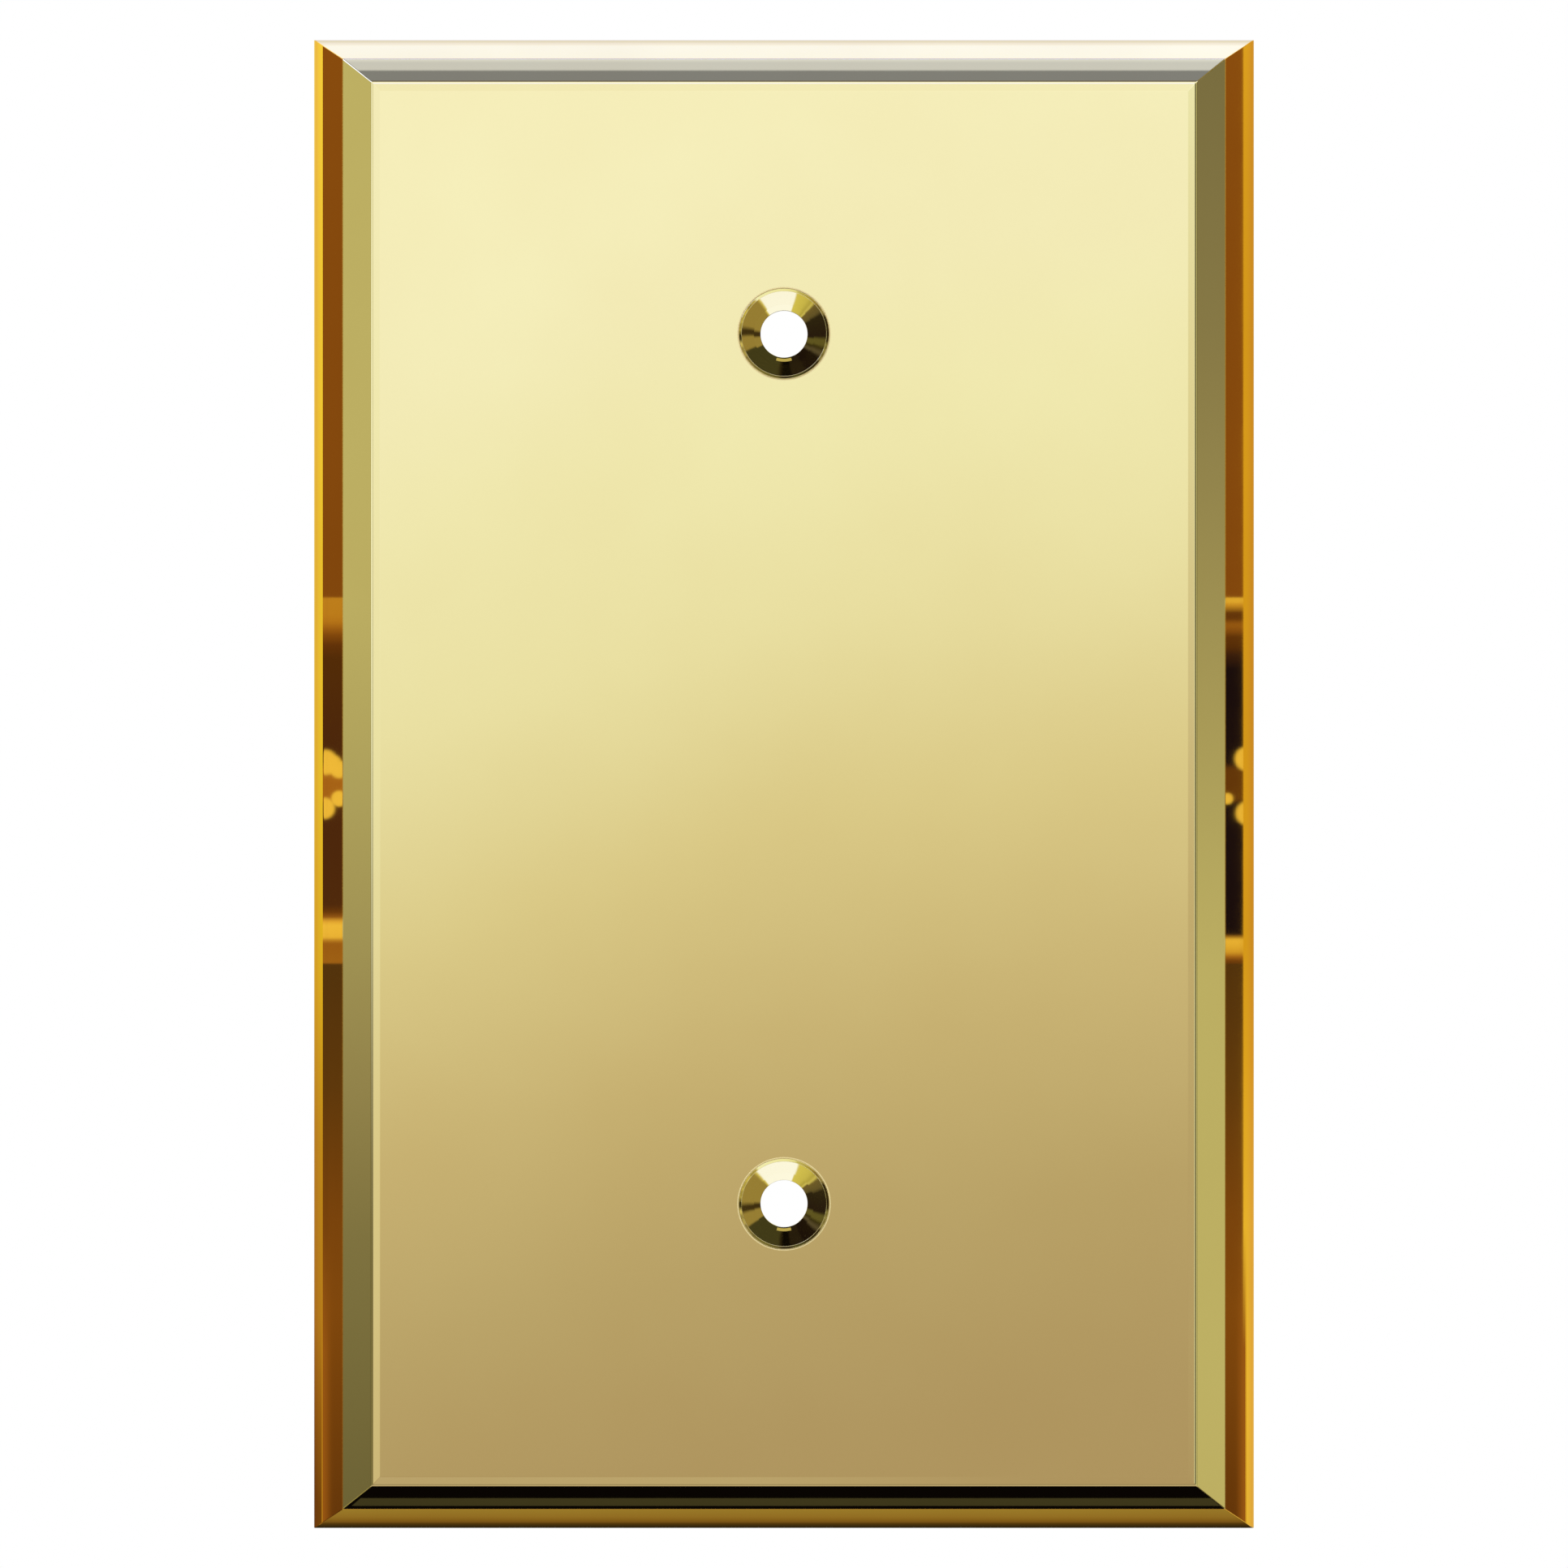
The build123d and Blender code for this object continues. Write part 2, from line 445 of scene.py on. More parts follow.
def pocketed_plate_tree():
    """Lofts the face plate and sinks one pocket at each screw height."""
    tree = Tree(
        "pocketed_plate",
        {
            "Pocket Section": "Object",
            "Upper Height": "Float",
            "Lower Height": "Float",
            "Mitre Steps": "Int",
            "Pocket Steps": "Int",
        },
    )
    plate = loft(tree, tree.inputs["Section"], tree.inputs["Mitre Steps"])
    pocket = tree.node("GeometryNodeObjectInfo", {"Object": tree.inputs["Pocket Section"]})
    cutter = loft(tree, pocket.outputs["Geometry"], tree.inputs["Pocket Steps"])
    upper, lower = (tree.vector(Z=tree.inputs[f"{end} Height"]) for end in ("Upper", "Lower"))
    ends = {"Count": 2, "Start Location": upper, "Offset": lower}
    line = tree.step("MeshLine", ends, mode="END_POINTS")
    cutters = tree.step("InstanceOnPoints", {"Points": line, "Instance": cutter})
    finish(tree, tree.cut(plate, tree.step("RealizeInstances", {"Geometry": cutters})))
    return tree


def turned_tree():
    """Lofts a turned section and stands it at a screw height."""
    tree = Tree("turned_piece", {"Height": "Float", "Quarter Steps": "Int"})
    body = loft(tree, tree.inputs["Section"], tree.inputs["Quarter Steps"])
    spot = tree.vector(Z=tree.inputs["Height"])
    finish(tree, tree.step("SetPosition", {"Geometry": body, "Offset": spot}))
    return tree


def toothed_washer_tree():
    """Lofts a washer blank, slots it at even turns, and bends the teeth between the slots."""
    tree = Tree(
        "toothed_washer",
        {
            "Height": "Float",
            "Teeth": "Int",
            "Bore Radius": "Float",
            "Slot Depth": "Float",
            "Slot Width": "Float",
            "Tooth Rise": "Float",
        },
    )
    math_node = tree.math
    inputs = tree.inputs
    quarter_steps = 16
    blank = loft(tree, inputs["Section"], quarter_steps)

    # one slot cutter: a bar with a round end, lying along +X from the bore
    half_width = math_node("DIVIDE", inputs["Slot Width"], 2)
    straight = math_node("SUBTRACT", inputs["Slot Depth"], half_width)
    deep = 5 * WASHER_THICKNESS * MM
    bar_size = tree.vector(X=tree.times(straight, 2), Y=deep, Z=inputs["Slot Width"])
    bar = tree.step("MeshCube", {"Size": bar_size})
    end = tree.step("MeshCylinder", {"Vertices": 24, "Radius": half_width, "Depth": deep})
    placing = {"Translation": tree.vector(X=straight), "Rotation": QUARTER_OVER}
    end = tree.step("Transform", {"Geometry": end, **placing})
    slot = tree.node("GeometryNodeMeshBoolean", operation="UNION", solver="EXACT")
    for half in (bar, end):
        tree.put(slot.inputs["Mesh 2"], half)

    # one point a tooth round the bore
    ring = {"Vertices": inputs["Teeth"], "Radius": inputs["Bore Radius"]}
    ring = tree.step("MeshCircle", ring)
    ring = tree.step("Transform", {"Geometry": ring, "Rotation": QUARTER_OVER})
    step = math_node("DIVIDE", 2 * math.pi, inputs["Teeth"])
    swing = tree.times(tree.times(tree.step("InputIndex"), step), -1)
    slots = tree.step(
        "InstanceOnPoints",
        {"Points": ring, "Instance": slot.outputs["Mesh"], "Rotation": tree.vector(Y=swing)},
    )
    drop = (0, -(WASHER_BACK + WASHER_THICKNESS / 2) * MM, 0)
    slots = tree.step("Transform", {"Geometry": slots, "Translation": drop})
    cut = tree.cut(blank, tree.step("RealizeInstances", {"Geometry": slots}))
    clean = tree.step("MergeByDistance", {"Geometry": cut, "Distance": 3 * WELD})

    # teeth bend away from the plate, most at the bore
    where = tree.split(tree.step("InputPosition"))
    flat = tree.vector(X=where[0], Z=where[2])
    away = tree.node("ShaderNodeVectorMath", {0: flat}, operation="LENGTH")
    out = math_node("SUBTRACT", away.outputs["Value"], inputs["Bore Radius"])
    share = math_node("SUBTRACT", 1, math_node("DIVIDE", out, inputs["Slot Depth"]))
    bend = tree.times(math_node("MAXIMUM", share, 0), inputs["Tooth Rise"])
    shift = tree.vector(Y=bend, Z=inputs["Height"])
    finish(tree, tree.step("SetPosition", {"Geometry": clean, "Offset": shift}))
    return tree


ring_loft = ring_loft_tree()
pocketed_plate = pocketed_plate_tree()
turned_piece = turned_tree()
toothed_washer = toothed_washer_tree()


def added(name, data):
    """Adds an object to the scene."""
    item = bpy.data.objects.new(name, data)
    bpy.context.scene.collection.objects.link(item)
    return item


def section_object(name, rows):
    """A section as loose points in metres, each with its row's corner radius."""
    mesh = bpy.data.meshes.new(name)
    mesh.from_pydata([[span * MM for span in row[:3]] for row in rows], [], [])
    corner = mesh.attributes.new("corner", "FLOAT", "POINT")
    corner.data.foreach_set("value", [row[3] * MM for row in rows])
    return added(name, mesh)


def made(name, rows, tree, values, material):
    """Runs a tree on a section, and keeps the result as a plain mesh at the origin."""
    maker = section_object(f"{name}_section", rows)
    loft_step = maker.modifiers.new("loft", "NODES")
    loft_step.node_group = tree.group
    for label, value in values.items():
        loft_step[tree.identifiers[label]] = value
    loft_step[tree.identifiers["Finish"]] = material
    shading = maker.modifiers.new("even_shading", "WEIGHTED_NORMAL")
    shading.keep_sharp = True
    shading.weight = 100
    depsgraph = bpy.context.evaluated_depsgraph_get()
    mesh = bpy.data.meshes.new_from_object(
        maker.evaluated_get(depsgraph), preserve_all_data_layers=True, depsgraph=depsgraph
    )
    mesh.name = name
    bpy.data.objects.remove(maker)
    if "corner" in mesh.attributes:
        mesh.attributes.remove(mesh.attributes["corner"])
    return added(name, mesh)


# ---- finishes ----


class Finish(Wiring):
    """A material's node tree, with the nodes that this plate's finishes are made from."""

    def __init__(self, name):
        self.material = bpy.data.materials.new(name)
        self.material.use_nodes = True
        super().__init__(self.material.node_tree)
        self.nodes.clear()
        self.output = self.node("ShaderNodeOutputMaterial")
        self.place = self.node("ShaderNodeTexCoord").outputs["Object"]

    def ended(self, shader):
        """Ends the finish in a shader, and gives the finished material."""
        self.put(self.output.inputs["Surface"], shader.outputs[0])
        return self.material

    def metal(self, tone, shine, normal, metallic=1.0, lacquer=0.0):
        """Ends the finish as metal, under as much lacquer as is given."""
        sockets = {
            "Base Color": tone,
            "Metallic": metallic,
            "Roughness": shine,
            "Normal": normal,
            "Coat Weight": lacquer,
            "Coat Roughness": 0.03,
            "Coat IOR": 1.5,
        }
        return self.ended(self.node("ShaderNodeBsdfPrincipled", sockets))

    def noise(self, scale, detail=2.0, roughness=0.5, stretch=(1, 1, 1)):
        vector = self.node("ShaderNodeMapping", {"Vector": self.place, "Scale": stretch})
        sockets = {"Scale": scale, "Detail": detail, "Roughness": roughness}
        sockets["Vector"] = vector.outputs[0]
        return self.node("ShaderNodeTexNoise", sockets).outputs["Fac"]

    def ramp(self, value, stops):
        """A run of colours; a stop is its place from 0 to 1 and its colour."""
        node = self.node("ShaderNodeValToRGB", {"Fac": value})
        elements = node.color_ramp.elements
        while len(elements) < len(stops):
            elements.new(1.0)
        for element, (position, colour) in zip(elements, stops):
            element.position = position
            element.color = (*colour, 1)
        return node.outputs[0]

    def mix(self, share, first, second):
        """The first colour where the share is 0, the second where it is 1."""
        return self.blend("MIX", share, first, second)

    def multiplied(self, first, second):
        return self.blend("MULTIPLY", 1.0, first, second)

    def blend(self, how, share, first, second):
        node = self.node("ShaderNodeMix", {0: share}, data_type="RGBA", blend_type=how)
        for socket, colour in ((6, first), (7, second)):
            if isinstance(colour, tuple):
                colour = (*colour, 1)
            self.put(node.inputs[socket], colour)
        return node.outputs[2]

    def bump(self, height, distance, normal=None):
        node = self.node("ShaderNodeBump", {"Height": height, "Distance": distance, "Strength": 1})
        if normal is not None:
            self.put(node.inputs["Normal"], normal)
        return node.outputs[0]


def pocket_highlight_ring(brass, across, depth, up):
    """A mask of the narrow ring at the front edge of both pockets, where a painted highlight goes.
    """
    radii = []
    for height in HOLE_HEIGHTS.values():
        rise = brass.math("SUBTRACT", up, height)
        squares = brass.math("MULTIPLY_ADD", rise, rise, brass.times(across, across))
        radii.append(brass.math("SQRT", squares))
    nearest = brass.math("MINIMUM", *radii)
    edge = LIP + CUP_GAP + POCKET_ARRIS + HIGHLIGHT_RING_WIDTH
    soft = 0.01
    near = brass.spread(nearest, (edge - soft) * MM, (edge + soft) * MM, 1, 0)
    return brass.times(near, brass.spread(depth, -HIGHLIGHT_RING_FRONT * MM, -HIGHLIGHT_RING_BACK * MM, 1, 0))


def polished_brass(name, colour, warm, lines, roughness, lacquer, painted_highlight=None):
    """Buffed, lacquered brass: faint buffing lines and haze in front, plain milled metal behind.

    A painted highlight, if given, is the pale, not metallic colour of a narrow ring round the edge
    of each pocket, standing in for the bright glint on its arris.
    """
    brass = Finish(name)
    cloud = brass.noise(45, detail=3)
    haze = brass.noise(160, detail=4, roughness=0.6)
    buffing = brass.noise(1, detail=2, stretch=lines)
    grain = brass.noise(9000, detail=1)
    tone = brass.mix(brass.spread(cloud, 0.35, 0.65), colour, warm)
    across, depth, up = brass.split(brass.place)
    from_side = brass.math("SUBTRACT", HALF_WIDTH * MM, brass.math("ABSOLUTE", across))
    from_end = brass.math("SUBTRACT", HALF_HEIGHT * MM, brass.math("ABSOLUTE", up))
    inset = brass.math("MINIMUM", from_side, from_end)
    # only the back inside the hollow is left milled
    within = brass.spread(inset, (HOLLOW_INSET - 0.2) * MM, (HOLLOW_INSET - 0.1) * MM)
    behind = brass.spread(depth, -MILLED_FRONT * MM, -MILLED_BACK * MM)
    unpolished = brass.times(within, behind)
    polish = brass.spread(haze, 0.3, 0.7, roughness * 0.8, roughness * 1.25)
    milled = brass.spread(buffing, 0.3, 0.7, 0.22, 0.36)
    shine = brass.math("ADD", polish, brass.times(unpolished, milled))
    normal = brass.bump(buffing, 4e-8)
    normal = brass.bump(grain, 1e-8, normal=normal)
    metallic = 1.0
    # painted highlight: a pale ring at each pocket's front edge, not metal, so the room's plain
    # light shows it bright like a glint
    if painted_highlight:
        highlight_share = pocket_highlight_ring(brass, across, depth, up)
        tone = brass.mix(highlight_share, tone, painted_highlight)
        metallic = brass.math("SUBTRACT", 1.0, highlight_share)
    return brass.metal(tone, shine, normal, metallic, lacquer)


def zinc_plated_steel():
    """Rolled sheet with a clear zinc plate: fine rolling lines, faint blue and straw patches."""
    steel = Finish("zinc_plated_steel_sheet")
    rolling = steel.noise(1, detail=3, stretch=(5200, 5200, 140))
    patches = steel.noise(70, detail=4, roughness=0.55)
    specks = steel.noise(3800, detail=2)
    bloom = steel.ramp(
        patches,
        [
            (0.30, (0.50, 0.55, 0.64)),
            (0.45, (0.60, 0.62, 0.65)),
            (0.58, (0.66, 0.64, 0.58)),
            (0.72, (0.56, 0.60, 0.68)),
        ],
    )
    tone = steel.mix(steel.spread(specks, 0.55, 0.75, 0, 0.25), bloom, (0.42, 0.44, 0.47))
    shine = steel.math(
        "ADD",
        steel.spread(rolling, 0.25, 0.75, 0.24, 0.38),
        steel.spread(patches, 0.3, 0.7, -0.03, 0.06),
    )
    normal = steel.bump(rolling, 6e-7)
    normal = steel.bump(specks, 4e-7, normal=normal)
    return steel.metal(tone, shine, normal)


def spring_steel():
    """Hardened spring steel: dark straw and blue temper colours over a stamped grain."""
    steel = Finish("tempered_spring_steel")
    temper = steel.noise(420, detail=2)
    grain = steel.noise(5200, detail=3)
    tone = steel.ramp(
        temper,
        [
            (0.30, (0.13, 0.14, 0.19)),
            (0.50, (0.20, 0.20, 0.22)),
            (0.70, (0.27, 0.23, 0.18)),
        ],
    )
    shine = steel.spread(grain, 0.3, 0.7, 0.24, 0.42)
    normal = steel.bump(grain, 1.2e-6)
    return steel.metal(tone, shine, normal)


DEEP_GOLD = (0.84, 0.47, 0.035)
PALE_BRASS = (0.88, 0.79, 0.40)

rim_finish = polished_brass(
    "deep_gold_brass", DEEP_GOLD, (0.80, 0.44, 0.03), (5200, 5200, 60), 0.025, 0.35
)
face_finish = polished_brass(
    "pale_polished_brass",
    PALE_BRASS,
    (0.865, 0.765, 0.38),
    (4200, 4200, 60),
    0.025,
    0.15,
    # the colour of the painted highlight ring round each pocket
    painted_highlight=(0.95, 0.80, 0.40),
)
cup_finish = polished_brass(
    "turned_brass", PALE_BRASS, (0.86, 0.76, 0.37), (60, 60, 60), 0.025, 0.15
)
zinc_finish = zinc_plated_steel()
spring_finish = spring_steel()


# ---- the pieces ----

bevelled_rim = made("bevelled_rim", rim_section(), ring_loft, {"Corner Steps": 6}, rim_finish)
pocket_tool = section_object("pocket_tool", pocket_section())
pale_face = made(
    "pale_face",
    face_section(),
    pocketed_plate,
    {
        "Pocket Section": pocket_tool,
        "Upper Height": HOLE_HEIGHTS["upper"],
        "Lower Height": HOLE_HEIGHTS["lower"],
        "Mitre Steps": 6,
        "Pocket Steps": 24,
    },
    face_finish,
)
bpy.data.objects.remove(pocket_tool)

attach(bevelled_rim, "root")
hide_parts("rim_frame")
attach(pale_face, "root")
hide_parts("face_plate")

for place, height in HOLE_HEIGHTS.items():
    cup = made(
        f"{place}_turned_cup",
        cup_section(),
        turned_piece,
        {"Height": height, "Quarter Steps": 60},
        cup_finish,
    )
    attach(cup, "root")
    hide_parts(f"{place}_screw_cup")
    washer = made(
        f"{place}_push_on_washer",
        washer_section(),
        toothed_washer,
        {
            "Height": height,
            "Teeth": TEETH,
            "Bore Radius": WASHER_BORE * MM,
            "Slot Depth": SLOT_DEPTH * MM,
            "Slot Width": SLOT_WIDTH * MM,
            "Tooth Rise": TOOTH_RISE * MM,
        },
        spring_finish,
    )
    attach(washer, "root")
    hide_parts(f"{place}_lock_washer")

backing_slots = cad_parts["backing_plate"].material_slots
for material_slot in backing_slots:
    material_slot.material = zinc_finish


# ---- studio ----


def sheet(name, corners, material, faces=((0, 1, 2, 3),)):
    """A flat or rolled sheet of one material."""
    mesh = bpy.data.meshes.new(name)
    mesh.from_pydata(corners, [], faces)
    mesh.materials.append(material)
    return added(name, mesh)


def card(name, corners, material, faces=((0, 1, 2, 3),)):
    """A studio card that only polished metal sees."""
    board = sheet(name, corners, material, faces)
    for ray in ("camera", "diffuse", "shadow", "transmission", "volume_scatter"):
        setattr(board, f"visible_{ray}", False)


def facing(y, half):
    """The corners of a square card that faces the plate."""
    return [(-half, y, -half), (half, y, -half), (half, y, half), (-half, y, half)]


def beside(x, nears, heights):
    """The corners of a card at one side, between two places along Y and two heights."""
    (near, far), (low, high) = nears, heights
    return [(x, near, low), (x, far, low), (x, far, high), (x, near, high)]


def level(z, sides, nears):
    """The corners of a level card, between two places along X and two along Y."""
    (left, right), (near, far) = sides, nears
    return [(left, near, z), (right, near, z), (right, far, z), (left, far, z)]


def glowing(card_finish, colour):
    """Ends a card's finish: it gives off its colour at a strength of 1."""
    return card_finish.ended(card_finish.node("ShaderNodeEmission", {"Color": colour}))


def banded(card_finish, value, bands, unit=MM):
    """A ramp along a card. A band is the place, or the two places, that have a colour, and the
    colour; places are written in millimetres or in another unit.
    """
    stops = [(place, colour) for *places, colour in bands for place in places]
    low, high = stops[0][0], stops[-1][0]
    share = card_finish.spread(value, low * unit, high * unit)
    shares = [((place - low) / (high - low), colour) for place, colour in stops]
    return card_finish.ramp(share, shares)


DEGREE = math.radians(1)
SCREEN_AWAY = 4.0
# where the cones, and the raised lips, find the screen: how far out the middle of a ring is,
# and how far from the middle its edge starts and ends
CONE_RING = (0.272, 0.030, 0.036)
LIP_RING = (1.075, 0.08, 0.10)

DARK_PAPER = (0.026, 0.017, 0.025)
BLACK_PAPER = (0.006, 0.005, 0.005)
OLIVE_PAPER = (0.068, 0.07, 0.057)
TAN_PAPER = (0.4, 0.34, 0.214)
GOLD_PAPER = (0.746, 0.75, 0.416)
CREAM_PAPER = (1.28, 1.53, 4.5)

# the paper sectors that the countersinks show, counted round from the right
SECTORS = [
    (-180, -174, (0.064, 0.047, 0.032)),
    (-169, -152, TAN_PAPER),
    (-149, -99, OLIVE_PAPER),
    (-94, (0.03, 0.023, 0.02)),
    (-91, -81, BLACK_PAPER),
    (-78, -62, (0.025, 0.019, 0.023)),
    (-58, (0.015, 0.009, 0.015)),
    (-38, (0.018, 0.012, 0.015)),
    (-32, (0.126, 0.113, 0.15)),
    (-25, (0.049, 0.042, 0.023)),
    (-20, -13, (0.148, 0.146, 0.09)),
    (-8, DARK_PAPER),
    (24, (0.034, 0.028, 0.03)),
    (29, (0.154, 0.135, 0.121)),
    (41, (0.205, 0.171, 0.133)),
    (43, 45, (0.75, 0.75, 0.5)),
    (47, (0.56, 0.55, 0.28)),
    (54, GOLD_PAPER),
    (71, (0.85, 0.86, 0.47)),
    (73, 127, CREAM_PAPER),
    (129, (0.9, 0.88, 0.5)),
    (133, 173, TAN_PAPER),
    (180, (0.064, 0.047, 0.032)),
]

# the paler sectors that the raised lips show, counted the same way
LIP_SECTORS = [
    (-180, (0.055, 0.045, 0.02)),
    (-174, (0.06, 0.05, 0.02)),
    (-169, (0.53, 0.46, 0.19)),
    (-153, (0.5, 0.43, 0.18)),
    (-149, (0.24, 0.2, 0.1)),
    (-120, (0.21, 0.19, 0.07)),
    (-99, (0.15, 0.13, 0.05)),
    (-92, (0.045, 0.032, 0.022)),
    (-81, (0.05, 0.04, 0.022)),
    (-75, (0.1, 0.1, 0.035)),
    (-58, (0.05, 0.042, 0.018)),
    (-38, (0.035, 0.025, 0.01)),
    (-32, (0.28, 0.25, 0.13)),
    (-13, (0.23, 0.21, 0.08)),
    (-8, (0.035, 0.024, 0.01)),
    (24, (0.04, 0.028, 0.01)),
    (29, (0.24, 0.2, 0.1)),
    (45, (0.32, 0.24, 0.075)),
    (54, (0.44, 0.36, 0.08)),
    (71, (0.62, 0.58, 0.26)),
    (75, (0.86, 0.87, 0.58)),
    (90, (0.97, 1.00, 0.8)),
    (127, (1.02, 1.09, 1.05)),
    (131, (0.5, 0.42, 0.15)),
    (150, (0.5, 0.43, 0.12)),
    (173, (0.58, 0.5, 0.17)),
    (180, (0.055, 0.045, 0.02)),
]

# tan to cream up the front screen, in thousandths of the way out
FALL = [
    (-150, (0.575, 0.48, 0.385)),
    (-120, (0.56, 0.465, 0.37)),
    (-65, (0.49, 0.385, 0.29)),
    (-50, (0.485, 0.38, 0.285)),
    (-40, (0.495, 0.393, 0.295)),
    (-28, (0.551, 0.457, 0.34)),
    (-15, (0.664, 0.571, 0.435)),
    (-2, (0.81, 0.756, 0.615)),
    (11, (0.935, 0.943, 0.9)),
    (24, (1.000, 1.04, 1.08)),
    (32, (1.03, 1.07, 1.2)),
    (60, (1.08, 1.13, 1.3)),
    (150, (1.02, 1.05, 1.15)),
]


def front_screen_finish():
    """The screen in front: cream above, tan below, and two rings of paper sectors further out.

    A place on it is written as a share of how far away it stands.
    """
    screen = Finish("front_screen_paper")
    mix, spread, times, math_node = screen.mix, screen.spread, screen.times, screen.math
    across, _, up = screen.split(screen.place)
    u = math_node("DIVIDE", across, SCREEN_AWAY)
    v = math_node("DIVIDE", up, SCREEN_AWAY)
    off_middle = math_node("ABSOLUTE", u)
    off_level = math_node("ABSOLUTE", v)
    angle = math_node("ARCTAN2", v, u)
    away = screen.node("ShaderNodeVectorMath", {0: screen.vector(X=u, Y=v)}, operation="LENGTH")
    out = away.outputs["Value"]

    # the fall from cream to tan leans to the right, and is gentler off to the sides
    near_u = math_node("MINIMUM", math_node("MAXIMUM", u, -0.06), 0.06)
    lean = times(near_u, -0.23)
    lean = math_node("MULTIPLY_ADD", math_node("ABSOLUTE", near_u), 0.1, lean)
    aside = spread(off_middle, 0.045, 0.1, smooth=True)
    steepness = math_node("MULTIPLY_ADD", aside, -0.45, 1)
    height = math_node("ADD", times(v, steepness), lean)
    height = math_node("MULTIPLY_ADD", aside, -0.0085, height)
    fall = banded(screen, height, FALL)
    # at its foot the tan is deeper from the middle to the right
    foot = spread(v, -0.1, -0.07, 1, 0)
    deeper = times(foot, spread(u, -0.004, 0.016))
    fall = mix(deeper, fall, (0.487, 0.383, 0.287))
    # and its upper half is a little lighter to the right
    to_right = spread(u, 0.05, 0.09)
    upper_right = times(to_right, spread(v, -0.006, 0.003))
    fall = screen.multiplied(fall, mix(upper_right, (1.0, 1.0, 1.0), (1.05, 1.11, 1.22)))

    # the studio wall past the fall: light above dim at the left, and even at the right
    lit = spread(v, -0.035, 0.02, smooth=True)
    left_wall = mix(lit, (0.2, 0.18, 0.1), (1.00, 1.05, 1.12))
    wall = mix(spread(u, -0.1, 0.1), left_wall, (0.62, 0.61, 0.39))
    # tan at its foot and white at its head
    wall = mix(spread(v, -0.3, -0.18, 1, 0), wall, (0.56, 0.465, 0.37))
    wall = mix(spread(v, 0.18, 0.3), wall, (1.05, 1.08, 1.3))
    colour = mix(spread(out, 0.2, 0.23, smooth=True), fall, wall)

    # a bright upright and then a dark one at the right
    mid_height = spread(off_level, 0.06, 0.08, 1, 0)
    for start, end, paper in ((0.145, 0.21, (1.00, 1.05, 0.95)), (0.22, 0.55, DARK_PAPER)):
        begun = spread(u, start - 0.005, start + 0.005)
        upright = times(begun, spread(u, end, end + 0.01, 1, 0))
        colour = mix(times(upright, mid_height), colour, paper)

    # the rings of sectors
    for bands, ring, smooth in ((SECTORS, CONE_RING, False), (LIP_SECTORS, LIP_RING, True)):
        middle, edge_start, edge_end = ring
        gap = math_node("ABSOLUTE", math_node("SUBTRACT", out, middle))
        on_ring = spread(gap, edge_start, edge_end, 1, 0, smooth)
        colour = mix(on_ring, colour, banded(screen, angle, bands, DEGREE))

    # well off to the sides, daylight falls unevenly down the screen
    side_light = screen.noise(0.9, detail=1, stretch=(0.4, 1, 1.6))
    lit_share = spread(side_light, 0.38, 0.62)
    uneven = mix(lit_share, (0.72, 0.7, 0.67), (1.3, 1.3, 1.32))
    far_aside = spread(off_middle, 0.6, 0.9, smooth=True)
    return glowing(screen, mix(far_aside, colour, screen.multiplied(colour, uneven)))


# the dim ends of the wings: a fifth of the way up, then the very end
LEFT_DIM = ((0.24, 0.216, 0.127), (0.165, 0.15, 0.085))
RIGHT_DIM = ((0.275, 0.245, 0.155), (0.21, 0.188, 0.122))


def side_wing_finish(name, bright_end, dim, dimmer):
    """The wings beside the screen: one bright above and dim below, the other reversed."""
    wing = Finish(name)
    up = wing.split(wing.place)[2]
    stops = [
        (0.00, dimmer),
        (0.2, dim),
        (0.3, (0.33, 0.295, 0.18)),
        (0.62, (0.575, 0.54, 0.31)),
        (1.00, (0.59, 0.56, 0.32)),
    ]
    high = WING_REACH * WING_BAND * bright_end
    return glowing(wing, wing.ramp(wing.spread(up, -high, high), stops))


# the paper that the rim's bevels show at the sides, from the bottom up: plain brown, and a pane
AMBER_LIT = (1.04, 1.03, 0.742)
PANE_FOOT = -17.8
PANE_HEAD = 18.5
BROWN = [
    (-72, (0.16, 0.082, 0.058)),
    (-52, (0.26, 0.135, 0.075)),
    (-43, (0.236, 0.123, 0.075)),
    (-30, (0.14, 0.088, 0.073)),
    (-18, (0.103, 0.07, 0.073)),
    (18, (0.27, 0.135, 0.081)),
    (30, (0.275, 0.138, 0.081)),
    (72, (0.3, 0.154, 0.087)),
]
LEFT_PANE = [
    (-17.9, (0.42, 0.255, 0.139)),
    (-15.8, (0.38, 0.215, 0.116)),
    (-15.5, (0.58, 0.42, 0.261)),
    (-15.2, (0.99, 0.94, 0.638)),
    (-14.0, AMBER_LIT),
    (-13.6, (0.88, 0.75, 0.522)),
    (-13.2, (0.33, 0.18, 0.128)),
    (-12.7, (0.16, 0.08, 0.058)),
    (-12.0, (0.095, 0.048, 0.07)),
    (2.5, (0.084, 0.041, 0.07)),
    (12.5, (0.105, 0.054, 0.046)),
    (13.8, (0.15, 0.07, 0.052)),
    (14.8, (0.27, 0.14, 0.075)),
    (15.4, (0.4, 0.23, 0.116)),
    (16.1, (0.56, 0.37, 0.174)),
    (16.8, (0.61, 0.43, 0.203)),
    (18.6, (0.63, 0.46, 0.232)),
]
